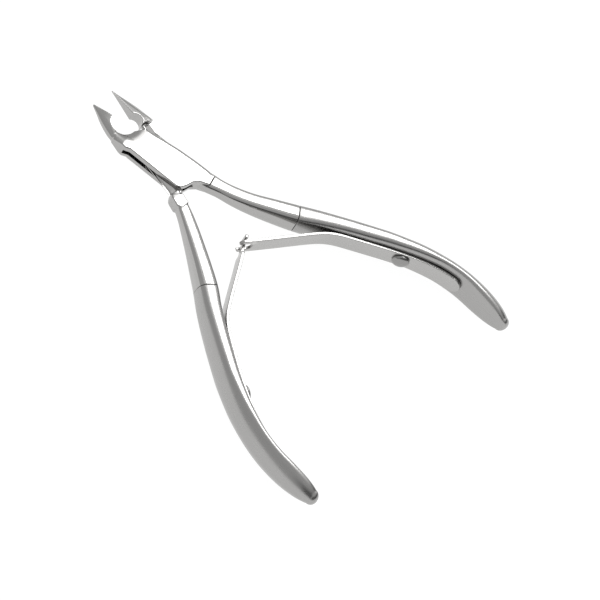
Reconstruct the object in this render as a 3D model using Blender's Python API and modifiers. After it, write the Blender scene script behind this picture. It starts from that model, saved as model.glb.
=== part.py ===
"""Cuticle nipper with a box joint and two interlocking leaf springs.

The tool lies flat, its blades pointing to +Y and its front face to +Z. The pivot axis is the Z axis,
and the back of the joint is at Z = 0. The front half carries the right handle (+X), the rear half
carries the left one. Each half is drawn closed, in its own plan frame, with its handle towards +x and
its blade at -x, and is then mirrored where needed and turned to its open angle.
"""
import math

import bmesh
import bpy
from mathutils import Matrix, Vector

MM = 0.001
NAME = "cuticle_nipper"

# Driving dimensions, in millimetres and degrees
OPEN_HALF_ANGLE = 8.0        # each half, from closed to the open rest pose
JOINT_THICKNESS = 4.2
PLATE_THICKNESS = 1.3        # the rear half's plate in the slot
SLOT_HEIGHT = 1.4
RIVET_RADIUS = 2.0
RIVET_CLEARANCE = 0.04
BLADE_TIP_Y = 23.8
BLADE_GAP = 0.04             # each cutting edge to the middle plane when closed
BLOCK_THICKNESS = 3.7
SEAM_GAP = 0.12              # fine line between a half and its handle
SPRING_THICKNESS = 0.8
SPRING_WIDTH = 5.2
SPRING_LIFT = 0.1            # spring to handle
HINGE_GAP = 0.3              # clamped end of a spring to its bending blade
FORK_SLOT_WIDTH = 2.6
FORK_SLOT_LENGTH = 3.9
TONGUE_WIDTH = 1.9
TONGUE_LENGTH = 4.2
T_HEAD_WIDTH = 4.2
T_HEAD_LENGTH = 1.1
SCREW_HEAD_RADIUS = 2.3
SCREW_HEAD_HEIGHT = 1.3
SCREW_HEAD_RIM = 0.35        # height of the plain rim under the dome
SCREW_SHANK_RADIUS = 1.1
SCREW_SHANK_LENGTH = 2.6
SCREW_LIFT = 0.08            # under the head of a spring screw
SCREW_CLEARANCE = 0.1
SCREW_STATION_Y = -59.8
SPRING_ROOT_Y = -41.5
SPRING_TAIL_Y = -77.0
HOOK = (-1.3, -28.05)        # where the springs hook into each other, in the open pose
FORK_OVERRUN = 1.5
TONGUE_OVERRUN = 2.4
FORK_BOW = 0.1               # how far a spring follows its handle's line, as a share of its length
TONGUE_BOW = 0.1
TAIL_CORNER = 3.1            # corner radii of the springs' ends
FORK_CORNER = 1.3
T_HEAD_CORNER = 0.35
INNER_POWER = 5.5            # squareness of a handle's inner side
SECTION_POINTS = 24
STEPS_PER_STATION = 3
ROUND_SEGMENTS = 48
CURVE_STEPS = 100
ENVELOPE_STEPS = 5
MID_Z = JOINT_THICKNESS / 2

FRONT, REAR = 1, -1          # which half: the sign that turns plan +x into world +X

# Handle stations: centre x, y, half thickness in plan, half height, roundness of the outer side
FRONT_SHANK = [
    (2.6, -7.0, 2.3, 2.0, 6.0),
    (3.1, -10.5, 2.3, 2.0, 6.0),
    (3.9, -14.0, 2.0, 1.9, 5.0),
    (4.9, -18.0, 2.1, 2.15, 4.5),
    (6.4, -22.2, 2.25, 2.55, 4.0),
    (8.6, -27.0, 2.5, 3.0, 4.0),
    (11.6, -33.0, 2.75, 3.45, 3.6),
]
REAR_SHANK = [
    (4.3, -7.6, 1.3, 1.75, 6.0),
    (4.6, -10.5, 1.5, 1.75, 6.0),
    (5.6, -14.0, 1.8, 1.75, 5.0),
    (7.2, -18.0, 2.05, 2.1, 4.5),
    (9.05, -22.2, 2.25, 2.5, 4.0),
    (11.25, -27.0, 2.45, 3.0, 4.0),
    (14.2, -33.0, 2.7, 3.45, 3.6),
]
FRONT_HANDLE = [
    (14.4, -37.9, 2.65, 3.85, 3.2),
    (17.6, -44.0, 2.5, 4.25, 3.0),
    (20.7, -50.2, 2.45, 4.5, 2.8),
    (23.9, -56.8, 2.35, 4.75, 2.6),
    (26.6, -63.4, 2.2, 4.95, 2.5),
    (28.3, -70.0, 2.0, 5.05, 2.4),
    (28.8, -76.5, 2.0, 5.0, 2.4),
    (28.3, -82.5, 2.15, 4.7, 2.4),
    (27.5, -87.2, 1.95, 3.9, 2.3),
    (26.7, -90.3, 1.5, 2.6, 2.2),
    (26.2, -92.0, 0.7, 1.1, 2.0),
]
REAR_HANDLE = [
    (17.1, -37.9, 2.65, 3.85, 3.2),
    (20.2, -44.0, 2.5, 4.25, 3.0),
    (23.0, -50.2, 2.45, 4.5, 2.8),
    (25.8, -56.8, 2.35, 4.75, 2.6),
    (28.0, -63.4, 2.2, 4.95, 2.5),
    (29.3, -70.0, 2.0, 5.05, 2.4),
    (29.5, -76.5, 2.0, 5.0, 2.4),
    (28.7, -82.5, 2.15, 4.7, 2.4),
    (27.6, -87.2, 1.95, 3.9, 2.3),
    (26.7, -90.3, 1.5, 2.6, 2.2),
    (26.2, -92.0, 0.7, 1.1, 2.0),
]

# Blade envelopes: y, outermost x, half height, width of the rounding towards the outer side
FRONT_ENVELOPE = [
    (-20.0, -9.0, 3.0, 0.5),
    (11.0, -5.7, 2.4, 0.4),
    (14.2, -5.05, 2.25, 1.6),
    (16.5, -4.35, 2.05, 2.1),
    (19.3, -3.05, 1.55, 1.8),
    (21.8, -1.55, 0.85, 1.0),
    (24.2, -0.2, 0.2, 0.2),
]
REAR_ENVELOPE = [
    (8.0, -5.0, 2.4, 0.4),
    (11.5, -4.2, 2.2, 0.8),
    (14.2, -3.6, 2.0, 1.6),
    (16.5, -3.05, 1.6, 1.9),
    (19.3, -2.0, 1.05, 1.4),
    (21.8, -0.95, 0.6, 0.7),
    (24.2, -0.12, 0.2, 0.15),
]
# Throats, the round gap behind the cutting edges: centre and radius
FRONT_THROAT = ((0.65, 15.05), 3.4)
REAR_THROAT = ((0.9, 13.6), 2.1)


def clear_scene():
    for obj in list(bpy.data.objects):
        bpy.data.objects.remove(obj, do_unlink=True)


def make_collection(name):
    collection = bpy.data.collections.new(name)
    bpy.context.scene.collection.children.link(collection)
    return collection


def make_material(name, colour, roughness):
    material = bpy.data.materials.new(name)
    material.use_nodes = True
    shader = material.node_tree.nodes["Principled BSDF"]
    shader.inputs["Base Color"].default_value = (*colour, 1.0)
    shader.inputs["Roughness"].default_value = roughness
    shader.inputs["Metallic"].default_value = 1.0
    return material


def finish(obj, collection, material, parent=None):
    """Put a finished object in its collection, shade it and hang it on its half's empty."""
    for old in list(obj.users_collection):
        old.objects.unlink(obj)
    collection.objects.link(obj)
    obj.data.materials.clear()
    obj.data.materials.append(material)
    obj.data.shade_smooth()
    obj.data.set_sharp_from_angle(angle=math.radians(32))
    obj.parent = parent
    return obj


def new_object(name, mesh, collection):
    obj = bpy.data.objects.new(name, mesh)
    collection.objects.link(obj)
    return obj


def arc(centre, radius, start, end, steps):
    """Points of an arc in plan, angles in degrees."""
    points = []
    for step in range(steps + 1):
        angle = math.radians(start + (end - start) * step / steps)
        points.append((centre[0] + radius * math.cos(angle), centre[1] + radius * math.sin(angle)))
    return points


def prism(name, outline, thickness, side, collection):
    """A flat outline, drawn as a filled curve and given its thickness about the middle plane."""
    curve = bpy.data.curves.new(name, "CURVE")
    curve.dimensions = "2D"
    curve.fill_mode = "BOTH"
    curve.extrude = thickness / 2 * MM
    curve.render_resolution_u = 0
    spline = curve.splines.new("POLY")
    spline.points.add(len(outline) - 1)
    for point, (x, y) in zip(spline.points, outline):
        point.co = (side * x * MM, y * MM, 0.0, 1.0)
    spline.use_cyclic_u = True
    source = new_object(name + "_curve", curve, collection)
    source.location.z = MID_Z * MM
    bpy.context.view_layer.update()
    depsgraph = bpy.context.evaluated_depsgraph_get()
    mesh = bpy.data.meshes.new_from_object(source.evaluated_get(depsgraph))
    matrix = source.matrix_world.copy()
    bpy.data.objects.remove(source, do_unlink=True)
    mesh.transform(matrix)
    weld(mesh)
    return new_object(name, mesh, collection)


def weld(mesh):
    shape = bmesh.new()
    shape.from_mesh(mesh)
    bmesh.ops.remove_doubles(shape, verts=shape.verts, dist=0.000002)
    bmesh.ops.recalc_face_normals(shape, faces=shape.faces)
    shape.to_mesh(mesh)
    shape.free()


def loft(name, sections, collection):
    """A closed skin through sections that have the same number of points, with flat ends."""
    shape = bmesh.new()
    rings = []
    for section in sections:
        rings.append([shape.verts.new(Vector(point) * MM) for point in section])
    count = len(rings[0])
    for lower, upper in zip(rings, rings[1:]):
        for i in range(count):
            j = (i + 1) % count
            shape.faces.new((lower[i], lower[j], upper[j], upper[i]))
    shape.faces.new(rings[0][::-1])
    shape.faces.new(rings[-1])
    bmesh.ops.recalc_face_normals(shape, faces=shape.faces)
    mesh = bpy.data.meshes.new(name)
    shape.to_mesh(mesh)
    shape.free()
    return new_object(name, mesh, collection)


def boolean(target, cutter, operation):
    """Apply a Boolean to the target and remove the other object."""
    modifier = target.modifiers.new(operation.lower(), "BOOLEAN")
    modifier.operation = operation
    modifier.object = cutter
    modifier.solver = "EXACT"
    bpy.context.view_layer.update()
    depsgraph = bpy.context.evaluated_depsgraph_get()
    mesh = bpy.data.meshes.new_from_object(target.evaluated_get(depsgraph))
    target.modifiers.clear()
    target.data = mesh
    weld(mesh)
    bpy.data.objects.remove(cutter, do_unlink=True)


def cylinder(name, radius, depth, segments, matrix, collection):
    mesh = bpy.data.meshes.new(name)
    shape = bmesh.new()
    bmesh.ops.create_cone(shape, cap_ends=True, segments=segments, radius1=radius * MM,
                          radius2=radius * MM, depth=depth * MM, matrix=matrix)
    shape.to_mesh(mesh)
    shape.free()
    return new_object(name, mesh, collection)


def smooth_stations(stations, per_gap):
    """Catmull-Rom points between the stations, so that the handle's lines run smoothly."""
    result = []
    last = len(stations) - 1
    for i in range(last):
        p0 = stations[max(i - 1, 0)]
        p1 = stations[i]
        p2 = stations[i + 1]
        p3 = stations[min(i + 2, last)]
        for step in range(per_gap):
            t = step / per_gap
            result.append(tuple(
                0.5 * (2 * b + (c - a) * t + (2 * a - 5 * b + 4 * c - d) * t * t
                       + (3 * b - a - 3 * c + d) * t ** 3)
                for a, b, c, d in zip(p0, p1, p2, p3)))
    result.append(stations[-1])
    return result


def outward(stations, index):
    """Unit normal in plan that points away from the other handle."""
    before = stations[max(index - 1, 0)]
    after = stations[min(index + 1, len(stations) - 1)]
    along = Vector((after[0] - before[0], after[1] - before[1])).normalized()
    return Vector((-along.y, along.x))


def handle_section(station, normal, side):
    """A rounded section: nearly flat on the inner side, rounder on the outer one."""
    x, y, half_thickness, half_height, outer_power = station
    points = []
    for i in range(SECTION_POINTS):
        angle = 2 * math.pi * (i + 0.5) / SECTION_POINTS
        cosine, sine = math.cos(angle), math.sin(angle)
        power = outer_power if cosine > 0 else INNER_POWER
        across = math.copysign(abs(cosine) ** (2 / power), cosine) * half_thickness
        height = math.copysign(abs(sine) ** (2 / power), sine) * half_height
        points.append((side * (x + normal.x * across), y + normal.y * across, MID_Z + height))
    return points


def bar_sections(line, first, last, side, start=0.0, stop=0.0):
    """Sections of a smooth line from one index to another, its ends moved inwards by start and stop."""
    sections = []
    for i in range(first, last + 1):
        normal = outward(line, i)
        along = Vector((normal.y, -normal.x))
        shift = start if i == first else (-stop if i == last else 0.0)
        station = line[i]
        moved = (station[0] + along.x * shift, station[1] + along.y * shift, *station[2:])
        sections.append(handle_section(moved, normal, side))
    return sections


def blade_outline(envelope, throat, throat_end):
    """One blade in plan, from its outer shoulder round the tip and the throat to an angle of its arc."""
    outer = [(x - 0.3, y) for y, x, height, rounding in envelope if 9.0 < y < BLADE_TIP_Y]
    tip = [(-BLADE_GAP - 0.15, BLADE_TIP_Y), (-BLADE_GAP, BLADE_TIP_Y - 0.15)]
    centre, radius = throat
    edge_angle = math.degrees(math.acos((-BLADE_GAP - centre[0]) / radius))
    return outer + tip + arc(centre, radius, edge_angle, throat_end, 14)


def blade_envelope(name, stations, side, collection):
    """A long body that thins towards the tip and is rounded on the blade's outer side."""
    sections = []
    for y, x_out, half_height, rounding in stations:
        half = [(7.0, half_height)]
        for step in range(ENVELOPE_STEPS + 1):
            angle = math.pi / 2 * step / ENVELOPE_STEPS
            half.append((x_out + rounding * (1 - math.sin(angle)), half_height * math.cos(angle)))
        ring = half + [(x, -z) for x, z in reversed(half[:-1])]
        sections.append([(side * x, y, MID_Z + z) for x, z in ring])
    return loft(name, sections, collection)


def cut_bore(target, collection):
    radius = RIVET_RADIUS + RIVET_CLEARANCE
    place = Matrix.Translation((0.0, 0.0, MID_Z * MM))
    boolean(target, cylinder("bore", radius, JOINT_THICKNESS + 2, ROUND_SEGMENTS, place, collection),
            "DIFFERENCE")


def make_front_half(line, seam, collection, cutters):
    """Blade, the two cheeks with the slot between them, and the shank."""
    cheeks = [(3.1, 9.6), (3.4, 6.8), (3.9, 4.2), (4.5, 0.0), (4.9, -5.0), (5.0, -9.0), (4.7, -11.0),
              (1.6, -11.5), (0.6, -9.3), (-0.9, -7.9), (-3.0, -7.3), (-4.5, -6.5), (-5.05, -5.4),
              (-5.05, 9.0)]
    outline = blade_outline(FRONT_ENVELOPE, FRONT_THROAT, 268.0) + cheeks
    body = prism("front_half", outline, JOINT_THICKNESS, FRONT, collection)
    boolean(body, blade_envelope("front_envelope", FRONT_ENVELOPE, FRONT, cutters), "INTERSECT")
    shank = loft("front_shank", bar_sections(line, 0, seam, FRONT, stop=SEAM_GAP / 2), cutters)
    boolean(body, shank, "UNION")
    slot = [(-9, 10.6), (0, 10.6), (0, 12.6), (9, 12.6), (9, -5.9), (2.2, -5.9), (-0.3, -7.3),
            (-0.3, -9.6), (-9, -9.6)]
    slot = prism("slot", slot, SLOT_HEIGHT, FRONT, cutters)
    boolean(body, slot, "DIFFERENCE")
    cut_bore(body, cutters)
    return body


def make_rear_half(line, seam, collection, cutters):
    """Blade, the plate that passes through the slot, the stop block and the shank."""
    outline = blade_outline(REAR_ENVELOPE, REAR_THROAT, 235.0) + [(-4.4, 11.55)]
    body = prism("rear_half", outline, JOINT_THICKNESS, REAR, collection)
    boolean(body, blade_envelope("rear_envelope", REAR_ENVELOPE, REAR, cutters), "INTERSECT")
    plate = [(-3.6, 12.5), (-3.1, 7.0), (-3.9, 4.4)] + arc((0, 0), 5.2, 140, 240, 8)
    plate += [(0.8, -7.0), (2.9, -9.5), (5.4, -9.5), (5.4, 2.2), (3.6, 4.6), (2.2, 7.5), (0.9, 10.1),
              (-0.25, 10.4), (-0.4, 12.2)]
    boolean(body, prism("plate", plate, PLATE_THICKNESS, REAR, cutters), "UNION")
    block = [(3.0, -9.1), (5.6, -7.6), (6.2, -8.4), (6.6, -11.0), (5.8, -12.2), (3.3, -11.9)]
    boolean(body, prism("block", block, BLOCK_THICKNESS, REAR, cutters), "UNION")
    shank = loft("rear_shank", bar_sections(line, 0, seam, REAR, stop=SEAM_GAP / 2), cutters)
    boolean(body, shank, "UNION")
    cut_bore(body, cutters)
    return body


def station_at(line, y):
    """Index of the station nearest to a given y."""
    return min(range(len(line)), key=lambda i: abs(line[i][1] - y))


def inner_side(line, index, lift):
    """Point at a height above the handle's inner face, in plan."""
    normal = outward(line, index)
    offset = line[index][2] + lift
    return Vector((line[index][0] - normal.x * offset, line[index][1] - normal.y * offset))


def strip(name, path, width_at, side, collection):
    """A flat strip along a path in plan, its width in Z given by a function of the distance."""
    sections = []
    distance = 0.0
    for i, point in enumerate(path):
        if i:
            distance += (point - path[i - 1]).length
        before = path[max(i - 1, 0)]
        after = path[min(i + 1, len(path) - 1)]
        along = (after - before).normalized()
        normal = Vector((-along.y, along.x)) * SPRING_THICKNESS / 2
        half_width = width_at(distance) / 2
        corners = ((1, 1), (-1, 1), (-1, -1), (1, -1))
        sections.append([(side * (point.x + normal.x * a), point.y + normal.y * a, MID_Z + half_width * b)
                         for a, b in corners])
    return loft(name, sections, collection)


def turn_into_half(point, side):
    """A point of the world's plan, in a half's own closed plan frame."""
    angle = math.radians(OPEN_HALF_ANGLE)
    x, y = side * point[0], point[1]
    return Vector((x * math.cos(angle) + y * math.sin(angle), -x * math.sin(angle) + y * math.cos(angle)))


def round_end_width(rest, width, radius):
    """Width of a strip at a distance from its end, whose outer corners have a radius."""
    if rest >= radius:
        return width
    return width - 2 * (radius - math.sqrt(max(0.0, radius ** 2 - (radius - rest) ** 2)))


def make_seat(name, line, side, collection):
    """The clamped part of a spring, from the bend to its rounded tail past the screw."""
    first = station_at(line, SPRING_ROOT_Y)
    last = station_at(line, SPRING_TAIL_Y)
    lift = SPRING_LIFT + SPRING_THICKNESS / 2
    path = [inner_side(line, i, lift) for i in range(first, last + 1)]
    direction = (path[0] - path[1]).normalized()
    root = path[0].copy()
    path[0] = root - direction * HINGE_GAP / 2
    tail = path[-1]
    back = (path[-2] - tail).normalized()
    while (path[-2] - tail).length < SPRING_WIDTH / 2:
        del path[-2]
    path[-1:-1] = [tail + back * rest for rest in (3.0, 2.2, 1.4, 0.7, 0.25)]
    total = sum((b - a).length for a, b in zip(path, path[1:]))
    seat = strip(name, path, lambda d: max(1.0, round_end_width(total - d, SPRING_WIDTH, TAIL_CORNER)),
                 side, collection)
    return seat, root, direction


def blade_curve(root, hook, overrun, bow, root_direction):
    """The free part of a spring in plan: it leaves the handle's line and runs nearly straight on."""
    straight = (hook - root).normalized()
    end = hook + straight * overrun
    length = (end - root).length
    start = root + root_direction * HINGE_GAP / 2
    control_a = start + root_direction * length * bow
    control_b = end - straight * length * 0.55
    points = []
    for step in range(CURVE_STEPS + 1):
        t = step / CURVE_STEPS
        points.append((1 - t) ** 3 * start + 3 * (1 - t) ** 2 * t * control_a
                      + 3 * (1 - t) * t * t * control_b + t ** 3 * end)
    return points


def at_rests(points, rests):
    """Points of a fine polyline at given distances before its end."""
    found = []
    for rest in rests:
        left = rest
        for i in range(len(points) - 1, 0, -1):
            step = (points[i - 1] - points[i]).length
            if left <= step or i == 1:
                found.append(points[i].lerp(points[i - 1], min(1.0, left / step)))
                break
            left -= step
    return found


def make_blade(name, root, hook, direction, side, collection, cutters):
    """The bending part of a spring, with a fork (front half) or a tongue and T head (rear half)."""
    overrun, bow = (FORK_OVERRUN, FORK_BOW) if side == FRONT else (TONGUE_OVERRUN, TONGUE_BOW)
    curve = blade_curve(root, hook, overrun, bow, direction)
    total = sum((b - a).length for a, b in zip(curve, curve[1:]))
    step = 0.02
    if side == FRONT:
        rests = [3.0, 1.3, 0.8, 0.4, 0.1, 0.0]
    else:
        shoulder = T_HEAD_LENGTH + TONGUE_LENGTH
        rests = [shoulder + 1.0, shoulder + step, shoulder - step, T_HEAD_LENGTH + step,
                 T_HEAD_LENGTH - step, 0.35, 0.0]
    even = [total * (1 - i / 9) for i in range(9)]
    rests = [rest for rest in even if rest > rests[0] + 0.8] + rests
    path = at_rests(curve, rests)

    def width_at(distance):
        rest = total - distance
        if side == FRONT:
            return round_end_width(rest, SPRING_WIDTH, FORK_CORNER)
        if rest < T_HEAD_LENGTH:
            return round_end_width(rest, T_HEAD_WIDTH, T_HEAD_CORNER)
        return TONGUE_WIDTH if rest < T_HEAD_LENGTH + TONGUE_LENGTH else SPRING_WIDTH

    blade = strip(name, path, width_at, side, collection)
    if side == FRONT:
        end = path[-1]
        inward = (path[-3] - end).normalized()
        middle = end + inward * (FORK_SLOT_LENGTH / 2 - 1.0)
        size = Vector((FORK_SLOT_LENGTH + 2.0, 4.0, FORK_SLOT_WIDTH)) * MM
        turn = Matrix.Rotation(math.atan2(inward.y, inward.x), 4, "Z")
        mesh = bpy.data.meshes.new("fork_slot")
        shape = bmesh.new()
        bmesh.ops.create_cube(shape, size=1.0)
        place = Matrix.Translation(Vector((middle.x, middle.y, MID_Z)) * MM)
        bmesh.ops.transform(shape, matrix=place @ turn @ Matrix.Diagonal((*size, 1.0)), verts=shape.verts)
        shape.to_mesh(mesh)
        shape.free()
        boolean(blade, new_object("fork_slot", mesh, cutters), "DIFFERENCE")
    return blade


def screw_matrix(line, side):
    """Frame of a spring screw: origin on the spring's surface, Z out of the handle's inner face."""
    index = station_at(line, SCREW_STATION_Y)
    place = inner_side(line, index, SPRING_LIFT + SPRING_THICKNESS)
    inward = -outward(line, index)
    axis = Vector((side * inward.x, inward.y, 0.0))
    turn = axis.to_track_quat("Z", "Y").to_matrix().to_4x4()
    return Matrix.Translation(Vector((side * place.x, place.y, MID_Z)) * MM) @ turn


def make_screw(name, matrix, collection):
    """A turned screw: domed head and plain shank."""
    profile = []
    for step in range(7):
        angle = math.pi / 2 * step / 6
        profile.append((SCREW_HEAD_RADIUS * math.sin(angle),
                        SCREW_HEAD_RIM + (SCREW_HEAD_HEIGHT - SCREW_HEAD_RIM) * math.cos(angle)))
    profile += [(SCREW_HEAD_RADIUS, SCREW_LIFT), (SCREW_SHANK_RADIUS, SCREW_LIFT),
                (SCREW_SHANK_RADIUS, -SCREW_SHANK_LENGTH), (0.0, -SCREW_SHANK_LENGTH)]
    mesh = bpy.data.meshes.new(name)
    mesh.from_pydata([(x * MM, 0.0, z * MM) for x, z in profile],
                     [(i, i + 1) for i in range(len(profile) - 1)], [])
    screw = new_object(name, mesh, collection)
    turned = screw.modifiers.new("turned", "SCREW")
    turned.axis = "Z"
    turned.steps = 24
    turned.render_steps = 24
    turned.use_merge_vertices = True
    turned.merge_threshold = 0.00001
    screw.matrix_local = matrix
    return screw


def cut_screw_hole(target, matrix, cutters):
    depth = SCREW_SHANK_LENGTH + 0.3
    place = matrix @ Matrix.Translation((0.0, 0.0, (2.0 - depth) / 2 * MM))
    hole = cylinder("screw_hole", SCREW_SHANK_RADIUS + SCREW_CLEARANCE, depth + 2.0, 24, place, cutters)
    boolean(target, hole, "DIFFERENCE")


def main():
    clear_scene()
    collection = make_collection(NAME)
    cutters = make_collection("cutters")
    steel = make_material("polished_steel", (0.62, 0.61, 0.59), 0.22)
    spring_steel = make_material("spring_steel", (0.58, 0.57, 0.55), 0.3)
    halves = (
        (FRONT, "front_half", "right", FRONT_SHANK, FRONT_HANDLE, make_front_half),
        (REAR, "rear_half", "left", REAR_SHANK, REAR_HANDLE, make_rear_half),
    )
    for side, half_name, label, shank, handle_stations, make_half in halves:
        empty = bpy.data.objects.new(half_name + "_axis", None)
        empty.rotation_euler.z = math.radians(side * OPEN_HALF_ANGLE)
        collection.objects.link(empty)
        line = smooth_stations(shank + handle_stations, STEPS_PER_STATION)
        seam = (len(shank) - 1) * STEPS_PER_STATION
        finish(make_half(line, seam, collection, cutters), collection, steel, empty)
        last = len(line) - 1
        handle = loft(label + "_handle", bar_sections(line, seam, last, side, start=SEAM_GAP / 2), cutters)
        seat, root, direction = make_seat(label + "_spring_seat", line, side, cutters)
        hook = turn_into_half(HOOK, side)
        blade = make_blade(label + "_spring_blade", root, hook, direction, side, cutters, cutters)
        matrix = screw_matrix(line, side)
        cut_screw_hole(handle, matrix, cutters)
        cut_screw_hole(seat, matrix, cutters)
        screw = make_screw(label + "_spring_screw", matrix, cutters)
        finish(handle, collection, steel, empty)
        for obj in (seat, blade, screw):
            finish(obj, collection, spring_steel, empty)
    rivet = cylinder("pivot_rivet", RIVET_RADIUS, JOINT_THICKNESS, ROUND_SEGMENTS,
                     Matrix.Translation((0.0, 0.0, MID_Z * MM)), collection)
    finish(rivet, collection, steel)


main()
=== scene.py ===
"""Looks of the cuticle nipper: smooth polished shapes, brushed springs, studio floor, lights and camera.

The scene repeats the CAD model's driving stations and rebuilds each half, handle, spring and screw as a
fine mesh in the same place. Lengths are millimetres until a mesh is made, which is in metres.
Each half is drawn closed, in its own plan frame, handle towards +x and blade at -x; the rear one is
mirrored, and both are turned to the open pose.
"""
import math

import bmesh
import bpy
from mathutils import Matrix, Vector


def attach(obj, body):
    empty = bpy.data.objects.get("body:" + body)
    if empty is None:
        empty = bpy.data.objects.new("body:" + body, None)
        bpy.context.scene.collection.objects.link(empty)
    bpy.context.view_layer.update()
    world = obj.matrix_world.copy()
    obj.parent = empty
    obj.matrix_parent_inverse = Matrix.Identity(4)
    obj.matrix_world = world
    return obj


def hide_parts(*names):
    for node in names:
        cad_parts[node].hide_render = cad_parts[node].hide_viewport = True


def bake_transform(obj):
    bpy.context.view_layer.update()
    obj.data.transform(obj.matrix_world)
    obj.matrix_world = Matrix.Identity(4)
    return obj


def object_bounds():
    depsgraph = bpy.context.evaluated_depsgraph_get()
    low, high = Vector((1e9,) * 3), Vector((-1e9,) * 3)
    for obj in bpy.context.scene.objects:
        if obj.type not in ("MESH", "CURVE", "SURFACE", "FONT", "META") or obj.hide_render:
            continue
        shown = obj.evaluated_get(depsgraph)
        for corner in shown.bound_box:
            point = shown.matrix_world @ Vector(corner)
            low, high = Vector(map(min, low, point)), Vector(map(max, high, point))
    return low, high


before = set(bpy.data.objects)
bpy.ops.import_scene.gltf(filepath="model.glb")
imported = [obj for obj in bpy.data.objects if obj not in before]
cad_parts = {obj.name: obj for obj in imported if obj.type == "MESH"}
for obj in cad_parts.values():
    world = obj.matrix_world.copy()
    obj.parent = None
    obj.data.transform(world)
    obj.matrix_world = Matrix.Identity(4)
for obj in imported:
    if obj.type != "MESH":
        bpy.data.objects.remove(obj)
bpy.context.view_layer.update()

MM = 0.001
FRONT, REAR = 1, -1          # the sign of a half's x axis in its plan frame

# The tool, as in the CAD model
OPEN_HALF_ANGLE = math.radians(8.0)
JOINT_THICKNESS = 4.2
MID_Z = JOINT_THICKNESS / 2
PLATE_THICKNESS = 1.3
SLOT_HEIGHT = 1.4
BORE_RADIUS = 2.04
SPARE = 2.0                  # how far a cutter reaches past what it cuts
BLADE_TIP_Y = 23.8
BLADE_GAP = 0.04
CHEEK_LEFT = -5.05           # the cheeks' left side, and where it widens into the front blade's shoulder
CHEEK_TOP = 9.0
SHOULDER_SLOPE = 0.475
BLOCK_THICKNESS = 3.7
SEAM_GAP = 0.12
SPRING_THICKNESS = 0.8
SPRING_WIDTH = 5.2
SPRING_LIFT = 0.1
SPRING_ROOT_Y = -41.5
SPRING_TAIL_Y = -77.0
SPRING_BOW = 0.1             # how far a spring leaves its handle straight on, as a share of its length
SPRING_APPROACH = 0.55       # the same where it comes to the hook
SPRING_OVERRUN = {FRONT: 1.5, REAR: 2.4}   # length of a spring past the hook
SCREW_STATION_Y = -59.8
SCREW_HEAD_RADIUS = 2.3
SCREW_HEAD_HEIGHT = 1.3
SCREW_HEAD_RIM = 0.35
SCREW_SHANK_RADIUS = 1.1
SCREW_SHANK_DEPTH = 2.6
SCREW_LIFT = 0.08
HOOK = (-1.3, -28.05)
FORK_SLOT_WIDTH = 2.6
FORK_SLOT_LENGTH = 3.9
TONGUE_WIDTH = 1.9
TONGUE_LENGTH = 4.2
T_HEAD_WIDTH = 4.2
T_HEAD_LENGTH = 1.1
FORK_CORNER = 1.3

# The polished skin
SEAM_ROUNDING = 0.12
END_RINGS = 4
TAIL_CAP = 1.5               # length over which the tail closes
TAIL_RINGS = 12
INNER_POWER = 3.8            # squareness of a bar's inner side
TAIL_INNER_POWER = 2.2       # the same towards the tail, where the section is a plain oval
TAIL_EASE_START = -54.0
TAIL_EASE_LENGTH = 14.0
RIDGE_SHIFT = 0.45           # how far the ridges move inwards there, as a share of the half thickness
OUTER_SHARE = 0.82           # the polished outer side is a little rounder than the CAD bar's
LEAST_POWER = 2.1            # squareness that it never goes below
STEPS_PER_STATION = 8
BLADE_ROWS = 90
BLADE_COLUMNS = 32
BLADE_STEPS = 10             # smooth steps between two stations of a blade
BLADE_EDGE = 0.02            # half thickness of its thinnest edges
CAD_STEPS_PER_STATION = 3
SECTION_POINTS = 96
VOXEL = 0.14
SOFTENING_ROUNDS = 3
RIM_ANGLE = 60.0             # a rim is rounded where its faces meet at more than this
RIM_SEGMENTS = 3
CHEEK_RIM = 0.4              # rounded rims of the joint's cheeks, plate and block
PLATE_RIM = 0.55
BLOCK_RIM = 0.3
SCOOP_WIDTH = 3.4            # hollow round the throat, where the joint's faces fall away
SCOOP_DEPTH = 1.0
SCOOP_START_X = -4.2         # it fades in from here over SCOOP_EASE
SCOOP_EASE = 2.0
CHEEK_FALL_WIDTH = 1.1       # soft fall of the joint's faces along the cheeks' right edge
CHEEK_FALL = 0.38
CHEEK_FALL_EASE = 1.5
PLATE_LEAN = 0.3             # fall of the plate's faces towards its free edge
PLATE_LEAN_START = 3.4
PLATE_LEAN_Y = (-9.0, 3.0)   # where it starts and ends along the tool, and over what lengths it fades
PLATE_LEAN_EASE = (2.5, 2.0)
RECESS_LEAN = 0.27           # the same under the rear blade's shoulder, towards the blade's outer side
RECESS_START = -0.8
RECESS_Y = (7.0, 12.4)
RECESS_EASE = 1.5
RECESS_REACH = PLATE_THICKNESS / 2 + 0.05    # only the plate is thinned, not the blade over it
LEAST_HALF_PLATE = 0.12      # what is left of the plate's half thickness at its thinnest
SPRING_RIM = 0.16
SPRING_CUT = 0.5             # spacing of the cuts that let a flat spring bend
PATH_STEPS = 400
BLADE_PATH_STEPS = 100
EASING = 3.5                 # half the length over which a spring's bends are spread
FACET_LEAN = {FRONT: 0.24, REAR: 0.15}    # fall of a blade's facets towards its outer side
LEAN_START = {FRONT: 11.5, REAR: 8.0}
LEAN_LENGTH = 3.3
ROOT_SLANT = {FRONT: 0.0, REAR: 0.33}    # how far a blade's root falls towards its outer side
BLADE_POWER = {FRONT: 3.2, REAR: 2.0}    # squareness of a blade's outer side

# Steel: colour and gloss vary along its fine grain, and its worn edges are brighter
GRAIN_TINT = 0.06            # how much darker the grain's dark lines are
GRAIN_DEPTH = 0.00002        # in metres
PATCH_SCALE = 260.0
WORN_FROM, WORN_TO = 0.52, 0.62            # pointiness over which an edge counts as worn
WORN_GAIN = 1.15
GLOSS_SPREAD = (0.8, 1.25)   # roughness between its patches, as shares of the metal's own

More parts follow.
